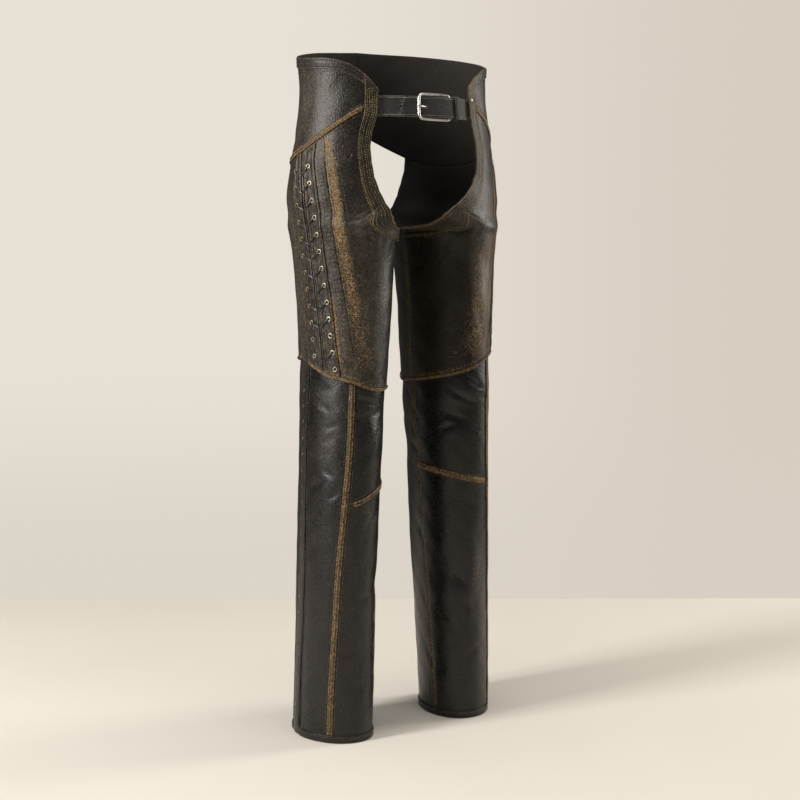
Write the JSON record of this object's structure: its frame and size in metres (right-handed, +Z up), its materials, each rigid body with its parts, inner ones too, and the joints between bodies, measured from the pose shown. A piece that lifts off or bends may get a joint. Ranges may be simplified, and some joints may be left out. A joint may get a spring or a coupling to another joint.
{
  "type": "leather chaps",
  "caption": "Open-seated leather chaps, worn and filled out: two full legs laced at the outer sides, joined by a yoke and buckled at the front by their own belt.",
  "frame": {"origin": "centre of the waist at the height of the belt, which is where the wearer holds the chaps up", "axes": "+Z up, -Y the wearer's front, +X the wearer's left"},
  "size_m": [0.3775, 0.2397, 1.1177],
  "materials": {
    "leather_brown": "dark brown waxed cowhide, half gloss",
    "leather_black": "black-brown waxed cowhide, half gloss",
    "leather_rubbed": "seam and edge with the dark finish rubbed off to copper",
    "lace_leather": "thin flat lace of the same leather",
    "belt_leather": "grey brown strap leather, worn smooth",
    "buckle_metal": "nickel plate, polished with fine scratches"
  },
  "bodies": {
    "root": {"right_yoke": "leather_brown", "right_thigh_front": "leather_brown", "right_lacing_base": "leather_brown", "right_thigh_back": "leather_brown", "right_knee": "leather_black", "right_shin": "leather_black", "right_calf_outer": "leather_black", "right_calf_back": "leather_black", "right_front_band": "leather_brown", "right_waist_band": "leather_brown", "right_yoke_welt": "leather_rubbed", "right_placket": "leather_black", "right_placket_high": "leather_brown", "right_calf_welt": "leather_rubbed", "right_knee_side_welt": "leather_rubbed", "right_knee_welt": "leather_rubbed", "right_thigh_binding": "leather_rubbed", "right_hem_band": "leather_black", "right_eyelet_strip_front": "leather_brown", "right_eyelet_strip_rear": "leather_brown", "right_side_strip": "leather_brown", "right_lace": "lace_leather", "left_yoke": "leather_brown", "left_thigh_front": "leather_brown", "left_lacing_base": "leather_brown", "left_thigh_back": "leather_brown", "left_knee": "leather_black", "left_shin": "leather_black", "left_calf_outer": "leather_black", "left_calf_back": "leather_black", "left_front_band": "leather_brown", "left_waist_band": "leather_brown", "left_yoke_welt": "leather_rubbed", "left_placket": "leather_black", "left_placket_high": "leather_brown", "left_calf_welt": "leather_rubbed", "left_knee_side_welt": "leather_rubbed", "left_knee_welt": "leather_rubbed", "left_thigh_binding": "leather_rubbed", "left_hem_band": "leather_black", "left_eyelet_strip_front": "leather_brown", "left_eyelet_strip_rear": "leather_brown", "left_side_strip": "leather_brown", "left_lace": "lace_leather", "belt_tongue": "belt_leather", "belt_buckle_strap": "belt_leather", "belt_keeper": "belt_leather", "buckle_frame": "buckle_metal", "buckle_prong": "buckle_metal"}
  },
  "joints": []
}
